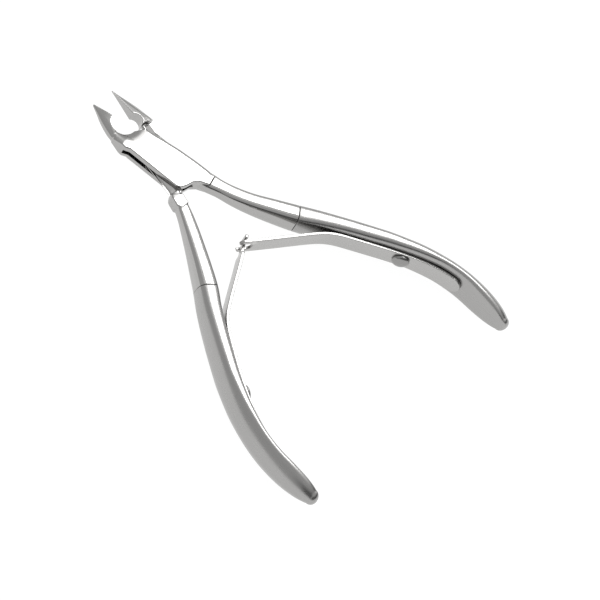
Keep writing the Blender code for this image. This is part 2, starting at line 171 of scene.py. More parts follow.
# Studio: brightness against the angle from the soft box's middle, or against the height of the direction
KEY_DIRECTION = Vector((0.566, 0.094, 0.819)).normalized()
KEY_CENTRE = 3.0
KEY_REACH = 40.0             # degrees from the soft box's middle to where its glow ends
KEY_RINGS = ((9.0, 3.0), (16.0, 0.3), (24.0, 0.1), (30.0, 0.6), (36.0, 0.1))
KEY_TARGET = Vector((0.0, -0.03, 0.0))
KEY_DISTANCE = 0.9
KEY_SIZE = 0.35
KEY_WATTS = 1.2
FILL_DIRECTION = Vector((0.566, 0.378, 0.726)).normalized()
FILL_REACH = 14.0
FILL_STRENGTH = 1.6
FAR_WALL = 0.6               # the wall beyond the blades is lighter than the one behind the tails
FAR_WALL_Y = (-0.5, -0.25)
WORLD_LOW, WORLD_TOP = 0.35, 0.6
WORLD_BANDS = ((0.06, 0.3), (0.14, 0.1), (0.5, 0.12), (0.6, 0.45), (0.8, 0.65))
FLOOR_COLOUR = 0.12
FLOOR_GLOW = 0.95
FLOOR_SIZE = 4.0
FLOOR_DROP = 0.0002
PICTURE_SIZE = 600.0
CAMERA_ANGLES = (-80.578, 55.0, 37.592)    # azimuth, elevation, roll
CAMERA_TARGET = Vector((0.0, -0.056, 0.0021))
CAMERA_DISTANCE = 0.8
CAMERA_SCALE = 4030.0        # units of the picture per metre at the target
CAMERA_SHIFT = (-24.87, 22.618)            # in units of the picture

# Handle stations: centre x, y, half thickness in plan, half height, roundness of the outer side
FRONT_SHANK = [
    (2.6, -7.0, 2.3, 2.0, 6.0),
    (3.1, -10.5, 2.3, 1.85, 6.0),
    (3.9, -14.0, 2.0, 1.85, 5.0),
    (4.9, -18.0, 2.1, 2.15, 4.5),
    (6.4, -22.2, 2.25, 2.55, 4.0),
    (8.6, -27.0, 2.5, 3.0, 4.0),
    (11.6, -33.0, 2.75, 3.45, 3.6),
]
REAR_SHANK = [
    (4.3, -7.6, 1.3, 1.75, 6.0),
    (4.6, -10.5, 1.5, 1.75, 6.0),
    (5.6, -14.0, 1.8, 1.75, 5.0),
    (7.2, -18.0, 2.05, 2.1, 4.5),
    (9.05, -22.2, 2.25, 2.5, 4.0),
    (11.25, -27.0, 2.45, 3.0, 4.0),
    (14.2, -33.0, 2.7, 3.45, 3.6),
]
FRONT_HANDLE = [
    (14.4, -37.9, 2.65, 3.85, 3.2),
    (17.6, -44.0, 2.5, 4.25, 3.0),
    (20.7, -50.2, 2.45, 4.5, 2.8),
    (23.9, -56.8, 2.35, 4.75, 2.6),
    (26.6, -63.4, 2.2, 4.95, 2.5),
    (28.3, -70.0, 2.0, 5.05, 2.4),
    (28.8, -76.5, 2.0, 5.0, 2.4),
    (28.3, -82.5, 2.15, 4.7, 2.4),
    (27.5, -87.2, 1.95, 3.9, 2.3),
    (26.7, -90.3, 1.5, 2.6, 2.2),
    (26.2, -92.0, 0.7, 1.1, 2.0),
]
REAR_HANDLE = [
    (17.1, -37.9, 2.65, 3.85, 3.2),
    (20.2, -44.0, 2.5, 4.25, 3.0),
    (23.0, -50.2, 2.45, 4.5, 2.8),
    (25.8, -56.8, 2.35, 4.75, 2.6),
    (28.0, -63.4, 2.2, 4.95, 2.5),
    (29.3, -70.0, 2.0, 5.05, 2.4),
    (29.5, -76.5, 2.0, 5.0, 2.4),
    (28.7, -82.5, 2.15, 4.7, 2.4),
    (27.6, -87.2, 1.95, 3.9, 2.3),
    (26.7, -90.3, 1.5, 2.6, 2.2),
    (26.2, -92.0, 0.7, 1.1, 2.0),
]

# Blade envelopes: y, outermost x, half height, width of the rounding towards the outer side
FRONT_ENVELOPE = [
    (-20.0, -9.0, 3.0, 0.5),
    (11.0, -5.7, 2.4, 0.4),
    (14.2, -5.05, 2.25, 1.6),
    (16.5, -4.35, 2.05, 2.1),
    (19.3, -3.05, 1.55, 1.8),
    (21.8, -1.55, 0.85, 1.0),
    (24.2, -0.2, 0.2, 0.2),
]
REAR_ENVELOPE = [
    (8.0, -5.0, 2.4, 0.4),
    (11.5, -4.2, 2.2, 0.8),
    (14.2, -3.6, 2.0, 1.6),
    (16.5, -3.05, 1.6, 1.9),
    (19.3, -2.0, 1.05, 1.4),
    (21.8, -0.95, 0.6, 0.7),
    (24.2, -0.12, 0.2, 0.15),
]
FRONT_THROAT = ((0.65, 15.05), 3.4)
REAR_THROAT = ((0.9, 13.6), 2.1)


# ---------------------------------------------------------------- shapes

def new_object(name, mesh):
    obj = bpy.data.objects.new(name, mesh)
    bpy.context.scene.collection.objects.link(obj)
    return obj


def mesh_from(name, shape):
    bmesh.ops.recalc_face_normals(shape, faces=shape.faces)
    mesh = bpy.data.meshes.new(name)
    shape.to_mesh(mesh)
    shape.free()
    return new_object(name, mesh)


def loft(name, sections):
    """A closed skin through sections that have the same number of points."""
    shape = bmesh.new()
    rings = [[shape.verts.new(Vector(point) * MM) for point in section] for section in sections]
    count = len(rings[0])
    for lower, upper in zip(rings, rings[1:]):
        for i in range(count):
            j = (i + 1) % count
            shape.faces.new((lower[i], lower[j], upper[j], upper[i]))
    shape.faces.new(rings[0][::-1])
    shape.faces.new(rings[-1])
    return mesh_from(name, shape)


def arc(centre, radius, start, end, steps):
    """Points of an arc in plan, angles in degrees."""
    points = []
    for step in range(steps + 1):
        angle = math.radians(start + (end - start) * step / steps)
        points.append((centre[0] + radius * math.cos(angle), centre[1] + radius * math.sin(angle)))
    return points


def round_rims(obj, width):
    bevel = obj.modifiers.new("rim", "BEVEL")
    bevel.width = width * MM
    bevel.segments = RIM_SEGMENTS
    bevel.limit_method = "ANGLE"
    bevel.angle_limit = math.radians(RIM_ANGLE)
    bake_modifiers(obj)


def prism(name, outline, thickness, side, rim=0.0):
    """A flat outline given its thickness about the middle plane, its rims rounded off."""
    lower = [(side * x, y, MID_Z - thickness / 2) for x, y in outline]
    upper = [(side * x, y, MID_Z + thickness / 2) for x, y in outline]
    obj = loft(name, [lower, upper])
    if rim:
        round_rims(obj, rim)
    return obj


def evaluated_mesh(obj):
    bpy.context.view_layer.update()
    depsgraph = bpy.context.evaluated_depsgraph_get()
    return bpy.data.meshes.new_from_object(obj.evaluated_get(depsgraph))


def bake_modifiers(obj):
    mesh = evaluated_mesh(obj)
    obj.modifiers.clear()
    obj.data = mesh


def boolean(target, cutter, operation):
    modifier = target.modifiers.new(operation, "BOOLEAN")
    modifier.operation = operation
    modifier.object = cutter
    modifier.solver = "EXACT"
    bake_modifiers(target)
    bpy.data.objects.remove(cutter, do_unlink=True)


def smooth_stations(stations, per_gap):
    """Catmull-Rom points between the stations, so that the handle's lines run smoothly."""
    result = []
    last = len(stations) - 1
    for i in range(last):
        p0 = stations[max(i - 1, 0)]
        p1 = stations[i]
        p2 = stations[i + 1]
        p3 = stations[min(i + 2, last)]
        for step in range(per_gap):
            t = step / per_gap
            result.append(tuple(
                0.5 * (2 * b + (c - a) * t + (2 * a - 5 * b + 4 * c - d) * t * t
                       + (3 * b - a - 3 * c + d) * t ** 3)
                for a, b, c, d in zip(p0, p1, p2, p3)))
    result.append(stations[-1])
    return result


def outward(stations, index):
    """Unit normal in plan that points away from the other handle."""
    before = stations[max(index - 1, 0)]
    after = stations[min(index + 1, len(stations) - 1)]
    along = Vector((after[0] - before[0], after[1] - before[1])).normalized()
    return Vector((-along.y, along.x))


def clamped(value):
    return min(max(value, 0.0), 1.0)


def signed_power(value, power):
    return math.copysign(abs(value) ** power, value)


def handle_section(station, normal, side):
    """A rounded section: nearly flat on the inner side, rounder on the outer one."""
    x, y, half_thickness, half_height, outer_power = station
    tail_share = clamped((TAIL_EASE_START - y) / TAIL_EASE_LENGTH)
    inner_power = INNER_POWER + (TAIL_INNER_POWER - INNER_POWER) * tail_share
    points = []
    for i in range(SECTION_POINTS):
        angle = 2 * math.pi * (i + 0.5) / SECTION_POINTS
        cosine, sine = math.cos(angle), math.sin(angle)
        power = max(LEAST_POWER, outer_power * OUTER_SHARE) if cosine > 0 else inner_power
        across = signed_power(cosine, 2 / power) * half_thickness
        height = signed_power(sine, 2 / power) * half_height
        across -= RIDGE_SHIFT * tail_share * (height / half_height) ** 2 * half_thickness
        points.append((side * (x + normal.x * across), y + normal.y * across, MID_Z + height))
    return points


def middle_of(section):
    return sum((Vector(point) for point in section), Vector()) / len(section)


def shrunk(section, share):
    """A section drawn in towards its middle."""
    middle = middle_of(section)
    return [middle.lerp(Vector(point), share) for point in section]


def moved(section, offset):
    return [Vector(point) + offset for point in section]


def bar_sections(line, first, last, side, start=0.0, stop=0.0):
    """Sections of a smooth line from one index to another, whose ends are drawn in by start and stop."""
    sections = []
    for i in range(first, last + 1):
        normal = outward(line, i)
        along = Vector((normal.y, -normal.x))
        shift = start if i == first else (-stop if i == last else 0.0)
        station = line[i]
        place = (station[0] + along.x * shift, station[1] + along.y * shift, *station[2:])
        sections.append(handle_section(place, normal, side))
    return sections


def rounded_end(sections, radius):
    """Sections with the edge of the last one rounded off by a small radius."""
    face = [Vector(point) for point in sections[-1]]
    middle = middle_of(face)
    along = (middle - middle_of(sections[-2])).normalized()
    rings = [[point - along * radius for point in face]]
    for step in range(1, END_RINGS + 1):
        angle = math.pi / 2 * step / END_RINGS
        drawn_in = radius * (1 - math.cos(angle))
        setback = radius * (1 - math.sin(angle))
        rings.append([point - (point - middle).normalized() * drawn_in - along * setback
                      for point in face])
    return sections[:-1] + rings


def rounded_start(sections, radius):
    """The same for the first one."""
    return rounded_end(sections[::-1], radius)[::-1]


# ---------------------------------------------------------------- halves

def between(stations, y):
    """The stations' values at a height y in plan."""
    for lower, upper in zip(stations, stations[1:]):
        if lower[0] <= y <= upper[0]:
            share = (y - lower[0]) / (upper[0] - lower[0])
            return [a + (b - a) * share for a, b in zip(lower[1:], upper[1:])]
    raise ValueError(y)


def cutting_side(y, throat, limit):
    """The blade's inner border: the cutting edge, then the throat's arc."""
    (centre_x, centre_y), radius = throat
    rise = y - centre_y
    if abs(rise) >= radius:
        return -BLADE_GAP if rise > 0 else limit
    return min(centre_x - math.sqrt(radius ** 2 - rise ** 2), -BLADE_GAP if rise > 0 else limit)


def make_blade(name, stations, throat, bottom, limit, side):
    """A blade in sections from its root to its tip: thinner outwards, with a rounded outer side."""
    smooth = smooth_stations(stations, BLADE_STEPS)
    power = BLADE_POWER[side]
    sections = []
    for row in range(BLADE_ROWS + 1):
        y = bottom + (BLADE_TIP_Y - bottom) * row / BLADE_ROWS
        x_out, half_height, rounding = between(smooth, y)
        half_height = min(half_height, MID_Z)
        lean = FACET_LEAN[side] * clamped((y - LEAN_START[side]) / LEAN_LENGTH)
        shoulder = x_out + rounding
        rim_height = half_height - lean * max(0.0, -shoulder)
        if side == FRONT:
            x_out = max(x_out, CHEEK_LEFT - SHOULDER_SLOPE * (y - CHEEK_TOP))
            shoulder = x_out + rounding
        x_in = max(cutting_side(y, throat, limit), x_out + 0.1)
        front, back = [], []
        for step in range(BLADE_COLUMNS + 1):
            x = x_out + (x_in - x_out) * (1 - math.cos(math.pi / 2 * step / BLADE_COLUMNS))
            leaning = half_height + lean * min(x, 0.0)
            plain = max(leaning, rim_height)
            depth = clamped((shoulder - x) / rounding)
            share = (1 - depth ** power) ** (1 / power)
            front.append((x, max(leaning * share, BLADE_EDGE)))
            back.append((x, -max(plain * share, BLADE_EDGE)))
        fall = ROOT_SLANT[side] * (1 - row / BLADE_ROWS) ** 6
        sections.append([(side * x, y - fall * (x_in - x) / (x_in - x_out), MID_Z + z)
                         for x, z in front + back[::-1]])
    return loft(name, sections)


def soften(obj):
    """Fuse the parts into one skin and round its edges, as polishing does."""
    remesh = obj.modifiers.new("skin", "REMESH")
    remesh.mode = "VOXEL"
    remesh.voxel_size = VOXEL * MM
    smooth = obj.modifiers.new("polish", "SMOOTH")
    smooth.factor = 0.5
    smooth.iterations = SOFTENING_ROUNDS
    bake_modifiers(obj)


def plan_place(vert, side):
    """A vertex in the half's plan frame, with its height from the middle plane."""
    return side * vert.co.x / MM, vert.co.y / MM, vert.co.z / MM - MID_Z


def scoop(obj, throat, side):
    """Lower both faces of the joint towards the throat, in a soft hollow."""
    (centre_x, centre_y), radius = throat
    for vert in obj.data.vertices:
        x, y, z = plan_place(vert, side)
        if y > centre_y:
            continue
        distance = math.hypot(x - centre_x, y - centre_y) - radius
        share = clamped(1 - distance / SCOOP_WIDTH)
        fade = clamped((x - SCOOP_START_X) / SCOOP_EASE)
        vert.co.z -= SCOOP_DEPTH * share ** 2 * fade * z / MID_Z * MM
    obj.data.update()


def fall_along(obj, edge, side):
    """Lower both faces of the joint softly along an edge given in plan, from its top down."""
    pairs = [(Vector(a), Vector(b)) for a, b in zip(edge, edge[1:])]
    top, bottom = edge[0][1], edge[-1][1]
    for vert in obj.data.vertices:
        x, y, z = plan_place(vert, side)
        if not bottom < y < top:
            continue
        point = Vector((x, y))
        distance = min(abs((end - start).normalized().cross(point - start)) for start, end in pairs
                       if end.y - 0.01 <= y <= start.y + 0.01)
        share = max(1 - distance / CHEEK_FALL_WIDTH, 0.0)
        fade = min((y - bottom) / CHEEK_FALL_EASE, 1.0)
        vert.co.z -= CHEEK_FALL * share ** 2 * fade * z / MID_Z * MM
    obj.data.update()


def lean_plate(obj, side):
    """Thin the plate's free parts towards their outer edges: beside the block, and under the blade."""
    low, high = PLATE_LEAN_Y
    for vert in obj.data.vertices:
        x, y, z = plan_place(vert, side)
        drop = 0.0
        if x > PLATE_LEAN_START and low < y < high:
            fade = min((y - low) / PLATE_LEAN_EASE[0], (high - y) / PLATE_LEAN_EASE[1], 1.0)
            drop = PLATE_LEAN * (x - PLATE_LEAN_START) * fade
        elif x < RECESS_START and RECESS_Y[0] < y < RECESS_Y[1] and abs(z) < RECESS_REACH:
            drop = RECESS_LEAN * (RECESS_START - x) * min((y - RECESS_Y[0]) / RECESS_EASE, 1.0)
        height = max(abs(z) - drop, min(abs(z), LEAST_HALF_PLATE))
        vert.co.z = (MID_Z + math.copysign(height, z)) * MM
    obj.data.update()


def cut_bore(target):
    bpy.ops.mesh.primitive_cylinder_add(vertices=128, radius=BORE_RADIUS * MM,
                                        depth=(JOINT_THICKNESS + SPARE) * MM,
                                        location=(0, 0, MID_Z * MM))
    boolean(target, bpy.context.object, "DIFFERENCE")


def fused(parts):
    """The parts joined into the first one, for the skin that is drawn over them."""
    first = parts[0]
    shape = bmesh.new()
    for part in parts:
        shape.from_mesh(part.data)
    shape.to_mesh(first.data)
    shape.free()
    for part in parts[1:]:
        bpy.data.objects.remove(part, do_unlink=True)
    soften(first)
    return first


def make_shank(line, seam, side):
    sections = bar_sections(line, 0, seam, side, stop=SEAM_GAP / 2)
    return loft("shank", rounded_end(sections, SEAM_ROUNDING))


def make_front_half(line, seam):
    blade = make_blade("front_half_polished", FRONT_ENVELOPE, FRONT_THROAT, 8.5, 0.5, FRONT)
    right_edge = [(3.1, 9.6), (3.4, 6.8), (3.9, 4.2), (4.5, 0.0), (4.9, -5.0), (5.0, -9.0)]
    cheeks = arc(*FRONT_THROAT, 225.0, 268.0, 16) + right_edge
    cheeks += [(4.7, -11.0), (1.6, -11.5), (0.6, -9.3), (-0.9, -7.9), (-3.0, -7.3), (-4.5, -6.5),
               (CHEEK_LEFT, -5.4), (CHEEK_LEFT, CHEEK_TOP), (-4.6, 10.8)]
    body = fused([blade, prism("cheeks", cheeks, JOINT_THICKNESS, FRONT, CHEEK_RIM),
                  make_shank(line, seam, FRONT)])
    scoop(body, FRONT_THROAT, FRONT)
    fall_along(body, right_edge + [(4.7, -11.0)], FRONT)
    slot = [(-9, 10.6), (0, 10.6), (0, 12.6), (9, 12.6), (9, -5.9), (2.2, -5.9), (-0.3, -7.3),
            (-0.3, -9.6), (-9, -9.6)]
    boolean(body, prism("slot", slot, SLOT_HEIGHT, FRONT), "DIFFERENCE")
    cut_bore(body)
    return body


def make_rear_half(line, seam):
    blade = make_blade("rear_half_polished", REAR_ENVELOPE, REAR_THROAT, 11.9, -0.3, REAR)
    plate = [(-3.6, 12.5), (-3.1, 7.0), (-3.9, 4.4)] + arc((0, 0), 5.2, 140, 240, 24)
    plate += [(0.8, -7.0), (2.9, -9.5), (5.4, -9.5), (5.4, 2.2), (3.6, 4.6), (2.2, 7.5), (0.9, 10.1),
              (-0.25, 10.4), (-0.4, 12.2)]
    block = [(3.0, -9.1), (5.6, -7.6), (6.2, -8.4), (6.6, -11.0), (5.8, -12.2), (3.3, -11.9)]
    body = fused([blade, prism("plate", plate, PLATE_THICKNESS, REAR, PLATE_RIM),
                  prism("block", block, BLOCK_THICKNESS, REAR, BLOCK_RIM), make_shank(line, seam, REAR)])
    lean_plate(body, REAR)
    cut_bore(body)
    return body


# ---------------------------------------------------------------- handles

def make_handle(name, line, seam, side):
    """The handle from the fine seam line to its rounded tail."""
    sections = bar_sections(line, seam, len(line) - 1, side, start=SEAM_GAP / 2)
    sections = rounded_start(sections, SEAM_ROUNDING)
    end = middle_of(sections[-1])
    sections = [section for section in sections if (middle_of(section) - end).length > TAIL_CAP]
    tail = sections[-1]
    reach = end - middle_of(tail)
    for step in range(1, TAIL_RINGS + 1):
        angle = math.pi / 2 * step / TAIL_RINGS
        share = max(math.cos(angle), 0.03)
        sections.append(moved(shrunk(tail, share), reach * math.sin(angle)))
    return loft(name, sections)


# ---------------------------------------------------------------- springs

def station_at(line, y):
    return min(range(len(line)), key=lambda i: abs(line[i][1] - y))


def inner_side(line, index, lift):
    """Point at a height above the handle's inner face, in plan."""
    normal = outward(line, index)
    offset = line[index][2] + lift
    return Vector((line[index][0] - normal.x * offset, line[index][1] - normal.y * offset))


def turn_into_half(point, side):
    x, y = side * point[0], point[1]
    cosine, sine = math.cos(OPEN_HALF_ANGLE), math.sin(OPEN_HALF_ANGLE)
    return Vector((x * cosine + y * sine, -x * sine + y * cosine))


def spring_path(line, cad_line, side):
    """The spring's middle line in plan, tail first: along the handle, then off it to the hook."""
    lift = SPRING_LIFT + SPRING_THICKNESS / 2
    cad_root = station_at(cad_line, SPRING_ROOT_Y)
    cad_tail = station_at(cad_line, SPRING_TAIL_Y)
    root = inner_side(cad_line, cad_root, lift)
    first = station_at(line, cad_line[cad_root][1])
    last = station_at(line, cad_line[cad_tail][1])
    seat = [inner_side(line, i, lift) for i in range(last, first, -1)] + [root]
    direction = (seat[-1] - seat[-2]).normalized()
    hook = turn_into_half(HOOK, side)
    straight = (hook - root).normalized()
    end = hook + straight * SPRING_OVERRUN[side]
    length = (end - root).length
    control_a = root + direction * length * SPRING_BOW
    control_b = end - straight * length * SPRING_APPROACH
    blade = []
    for step in range(1, BLADE_PATH_STEPS + 1):
        t = step / BLADE_PATH_STEPS
        blade.append((1 - t) ** 3 * root + 3 * (1 - t) ** 2 * t * control_a
                     + 3 * (1 - t) * t * t * control_b + t ** 3 * end)
    return eased(seat + blade), root, hook


def eased(path):
    """The path with its bends spread over a few millimetres."""
    points, total = resample(path, PATH_STEPS)
    reach = int(EASING / (total / PATH_STEPS))
    result = []
    for i in range(len(points)):
        span = min(reach, i, len(points) - 1 - i)
        near = points[i - span:i + span + 1]
        result.append(sum(near, Vector((0.0, 0.0))) / len(near))
    return result


def resample(path, count):
    """Evenly spaced points on a polyline, and its length."""
    lengths = [0.0]
    for a, b in zip(path, path[1:]):
        lengths.append(lengths[-1] + (b - a).length)
    total = lengths[-1]
    points = []
    place = 0
    for step in range(count + 1):
        distance = total * step / count
        while place < len(path) - 2 and lengths[place + 1] < distance:
            place += 1
        share = (distance - lengths[place]) / (lengths[place + 1] - lengths[place])
        points.append(path[place].lerp(path[place + 1], share))
    return points, total


def strip_half_outline(total, side):
    """Points (distance, half width) along one edge of the flat spring."""
    half = SPRING_WIDTH / 2
    points = []
    for step in range(13):
        angle = math.pi / 2 * step / 12
        points.append((half - half * math.cos(angle), max(0.05, half * math.sin(angle))))
    if side == FRONT:
        corner = FORK_CORNER
        points += [(total - corner + corner * math.sin(a), half - corner + corner * math.cos(a))
                   for a in (math.pi / 2 * step / 8 for step in range(9))]
    else:
        neck = total - T_HEAD_LENGTH - TONGUE_LENGTH
        tongue, head = TONGUE_WIDTH / 2, T_HEAD_WIDTH / 2
        points += [(neck - 0.7, half), (neck - 0.25, half - 0.1), (neck, half - 0.45)]
        points += [(neck + 0.02, tongue + 0.35), (neck + 0.15, tongue + 0.08), (neck + 0.45, tongue)]
        points += [(total - T_HEAD_LENGTH - 0.2, tongue), (total - T_HEAD_LENGTH, tongue + 0.2),
                   (total - T_HEAD_LENGTH, head - 0.2), (total - T_HEAD_LENGTH + 0.2, head),
                   (total - 0.35, head), (total - 0.1, head - 0.1), (total, head - 0.35)]
    return points


def fork_slot(total):
    """The cutter of the slot between the fork's prongs, with a round bottom."""
    radius = FORK_SLOT_WIDTH / 2
    mouth = total + SPARE
    turn = total - FORK_SLOT_LENGTH + radius
    outline = [(mouth, -radius), (turn, -radius)]
    outline += [(turn - radius * math.sin(a), -radius * math.cos(a))
                for a in (math.pi * step / 24 for step in range(1, 24))]
    outline += [(turn, radius), (mouth, radius)]
    return loft("fork_slot", [[(s, -SPARE, w) for s, w in outline], [(s, SPARE, w) for s, w in outline]])


def make_spring(name, line, cad_line, side):
    """One flat spring: drawn flat, its rims rounded, then bent along its path."""
    path, root, hook = spring_path(line, cad_line, side)
    points, total = resample(path, PATH_STEPS)
    edge = strip_half_outline(total, side)
    outline = edge + [(s, -w) for s, w in reversed(edge)]
    half = SPRING_THICKNESS / 2
    flat = loft(name, [[(s, -half, w) for s, w in outline], [(s, half, w) for s, w in outline]])
    if side == FRONT:
        boolean(flat, fork_slot(total), "DIFFERENCE")
    round_rims(flat, SPRING_RIM)
    shape = bmesh.new()
    shape.from_mesh(flat.data)
    bmesh.ops.triangulate(shape, faces=shape.faces)
    cuts = int(total / SPRING_CUT)
    for step in range(1, cuts):
        plane = total * step / cuts * MM
        geometry = shape.verts[:] + shape.edges[:] + shape.faces[:]
        bmesh.ops.bisect_plane(shape, geom=geometry, plane_co=(plane, 0, 0), plane_no=(1, 0, 0),
                               dist=1e-8)
    for vert in shape.verts:
        place = min(max(vert.co.x / MM / total, 0.0), 1.0) * (len(points) - 1)
        index = min(int(place), len(points) - 2)
        share = place - index
        centre = points[index].lerp(points[index + 1], share)
        before = points[max(index - 4, 0)]
        after = points[min(index + 5, len(points) - 1)]
        along = (after - before).normalized()
        normal = Vector((-along.y, along.x))
        off = vert.co.y / MM
        vert.co = Vector((side * (centre.x + normal.x * off), centre.y + normal.y * off,
                          MID_Z + vert.co.z / MM)) * MM
    bmesh.ops.recalc_face_normals(shape, faces=shape.faces)
    shape.to_mesh(flat.data)
    shape.free()
    return flat, root, hook


# ---------------------------------------------------------------- screws

def make_screw(name, line, side):
    """A turned screw: domed head with a rounded rim, and its plain shank."""
    index = station_at(line, SCREW_STATION_Y)
    place = inner_side(line, index, SPRING_LIFT + SPRING_THICKNESS)
    inward = -outward(line, index)
    axis = Vector((side * inward.x, inward.y, 0.0))
    turn = axis.to_track_quat("Z", "Y").to_matrix().to_4x4()
    head, rim = SCREW_HEAD_RADIUS, SCREW_HEAD_RIM
    profile = [(head * math.sin(a), rim + (SCREW_HEAD_HEIGHT - rim) * math.cos(a))
               for a in (math.pi / 2 * step / 20 for step in range(20))]
    profile += [(head, rim), (head - 0.02, rim - 0.12), (head - 0.12, SCREW_LIFT),
                (SCREW_SHANK_RADIUS, SCREW_LIFT), (SCREW_SHANK_RADIUS, -SCREW_SHANK_DEPTH),
                (0.0, -SCREW_SHANK_DEPTH)]
    segments = SECTION_POINTS
    shape = bmesh.new()
    rings = []
    for radius, z in profile:
        if radius < 1e-6:
            rings.append([shape.verts.new((0, 0, z * MM))])
        else:
            rings.append([shape.verts.new((radius * math.cos(a) * MM, radius * math.sin(a) * MM, z * MM))
                          for a in (2 * math.pi * k / segments for k in range(segments))])
    for upper, lower in zip(rings, rings[1:]):
        for k in range(segments):
            j = (k + 1) % segments
            corners = [upper[k % len(upper)], lower[k % len(lower)], lower[j % len(lower)],
                       upper[j % len(upper)]]
            unique = [vert for i, vert in enumerate(corners) if vert not in corners[:i]]
            shape.faces.new(unique)
    screw = mesh_from(name, shape)
    matrix = Matrix.Translation(Vector((side * place.x, place.y, MID_Z)) * MM) @ turn
    screw.data.transform(matrix)
    return screw


# ---------------------------------------------------------------- materials

def steel(name, colour, roughness, grain, bump):
    """Polished steel: fine grain along the tool, soft patches in gloss, brighter worn edges.

    Sockets 6 and 7 of a colour mix are its colours A and B, and output 2 is its result.
    """
    material = bpy.data.materials.new(name)
    material.use_nodes = True
    nodes = material.node_tree.nodes
    links = material.node_tree.links
    shader = nodes["Principled BSDF"]
    shader.inputs["Metallic"].default_value = 1.0
    place = nodes.new("ShaderNodeTexCoord")
    stretch = nodes.new("ShaderNodeMapping")
    stretch.inputs["Scale"].default_value = grain
    links.new(place.outputs["Object"], stretch.inputs["Vector"])
    lines = nodes.new("ShaderNodeTexNoise")
    lines.inputs["Scale"].default_value = 1.0
    lines.inputs["Detail"].default_value = 5.0
    lines.inputs["Roughness"].default_value = 0.6
    links.new(stretch.outputs["Vector"], lines.inputs["Vector"])
    patches = nodes.new("ShaderNodeTexNoise")
    patches.inputs["Scale"].default_value = PATCH_SCALE
    patches.inputs["Detail"].default_value = 3.0
    links.new(place.outputs["Object"], patches.inputs["Vector"])
    edges = nodes.new("ShaderNodeNewGeometry")
    worn = nodes.new("ShaderNodeMapRange")
    worn.inputs["From Min"].default_value = WORN_FROM
    worn.inputs["From Max"].default_value = WORN_TO
    links.new(edges.outputs["Pointiness"], worn.inputs["Value"])

    dark = tuple(channel * (1 - GRAIN_TINT) for channel in colour)
    tone = nodes.new("ShaderNodeMix")
    tone.data_type = "RGBA"
    tone.inputs[6].default_value = (*dark, 1.0)
    tone.inputs[7].default_value = (*colour, 1.0)
    links.new(lines.outputs["Fac"], tone.inputs[0])
    wear = nodes.new("ShaderNodeMix")
    wear.data_type = "RGBA"
    wear.inputs[7].default_value = tuple(min(1.0, channel * WORN_GAIN) for channel in colour) + (1.0,)
    links.new(worn.outputs["Result"], wear.inputs[0])
    links.new(tone.outputs[2], wear.inputs[6])
    links.new(wear.outputs[2], shader.inputs["Base Color"])

    gloss = nodes.new("ShaderNodeMapRange")
    gloss.inputs["From Min"].default_value = 0.3
    gloss.inputs["From Max"].default_value = 0.7
    gloss.inputs["To Min"].default_value = roughness * GLOSS_SPREAD[0]
    gloss.inputs["To Max"].default_value = roughness * GLOSS_SPREAD[1]
    both = nodes.new("ShaderNodeMath")
    both.operation = "MULTIPLY_ADD"
    both.inputs[1].default_value = 0.5
    links.new(lines.outputs["Fac"], both.inputs[0])
    half = nodes.new("ShaderNodeMath")
    half.operation = "MULTIPLY"
    half.inputs[1].default_value = 0.5
    links.new(patches.outputs["Fac"], half.inputs[0])
    links.new(half.outputs[0], both.inputs[2])
    links.new(both.outputs[0], gloss.inputs["Value"])
    links.new(gloss.outputs["Result"], shader.inputs["Roughness"])

    relief = nodes.new("ShaderNodeBump")
    relief.inputs["Strength"].default_value = bump
    relief.inputs["Distance"].default_value = GRAIN_DEPTH
    links.new(lines.outputs["Fac"], relief.inputs["Height"])
    links.new(relief.outputs["Normal"], shader.inputs["Normal"])
    return material


def dress(obj, material):
    obj.data.materials.clear()
    obj.data.materials.append(material)


def shade(obj, angle):
    obj.data.shade_smooth()
    obj.data.set_sharp_from_angle(angle=math.radians(angle))


# ---------------------------------------------------------------- the object

polished = steel("polished_steel", (0.42, 0.416, 0.409), 0.16, (2600.0, 160.0, 2600.0), 0.05)
satin = steel("satin_steel", (0.39, 0.386, 0.38), 0.28, (3200.0, 130.0, 3200.0), 0.14)
brushed = steel("spring_steel", (0.45, 0.446, 0.438), 0.27, (3600.0, 140.0, 3600.0), 0.16)
# The screw's steel is darker than the other steels: painted shade, standing in for the dark ring of shade
# round its head
turned = steel("screw_steel", (0.3, 0.297, 0.292), 0.2, (900.0, 900.0, 900.0), 0.06)

HALVES = (
    (FRONT, "front", "right", "fork_spring", FRONT_SHANK, FRONT_HANDLE, make_front_half),
    (REAR, "rear", "left", "tongue_spring", REAR_SHANK, REAR_HANDLE, make_rear_half),
)


def build_side(side, body, label, spring_body, shank, handle_stations, make_half):
    """Everything that one half carries, turned to its open pose; all but the spring are put on its body.
    """
    line = smooth_stations(shank + handle_stations, STEPS_PER_STATION)
    cad_line = smooth_stations(shank + handle_stations, CAD_STEPS_PER_STATION)
    seam = (len(shank) - 1) * STEPS_PER_STATION
    turn = Matrix.Rotation(side * OPEN_HALF_ANGLE, 4, "Z")

    half = make_half(line, seam)
    handle = make_handle(label + "_handle_polished", line, seam, side)
    spring, root, hook = make_spring(label + "_spring", line, cad_line, side)
    screw = make_screw(label + "_spring_screw_turned", cad_line, side)
    for obj in (half, handle, spring, screw):
        obj.data.transform(turn)
    shade(half, 40)
    shade(handle, 50)
    shade(spring, 40)
    shade(screw, 40)
    dress(half, polished)
    dress(handle, satin)
    dress(spring, brushed)
    # the screw's darker colour is painted shade round its head, not its turned finish
    dress(screw, turned)
    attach(half, body)
    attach(handle, body)
    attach(screw, body)
    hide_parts(body + "_half")
    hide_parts(label + "_handle")
    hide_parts(label + "_spring_screw")
    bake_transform(spring)
    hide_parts(label + "_spring_seat", label + "_spring_blade")


for values in HALVES:
    build_side(*values)
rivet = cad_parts["pivot_rivet"]
dress(rivet, polished)


# ---------------------------------------------------------------- floor, light and camera

def grey(value):
    return (value, value, value, 1.0)


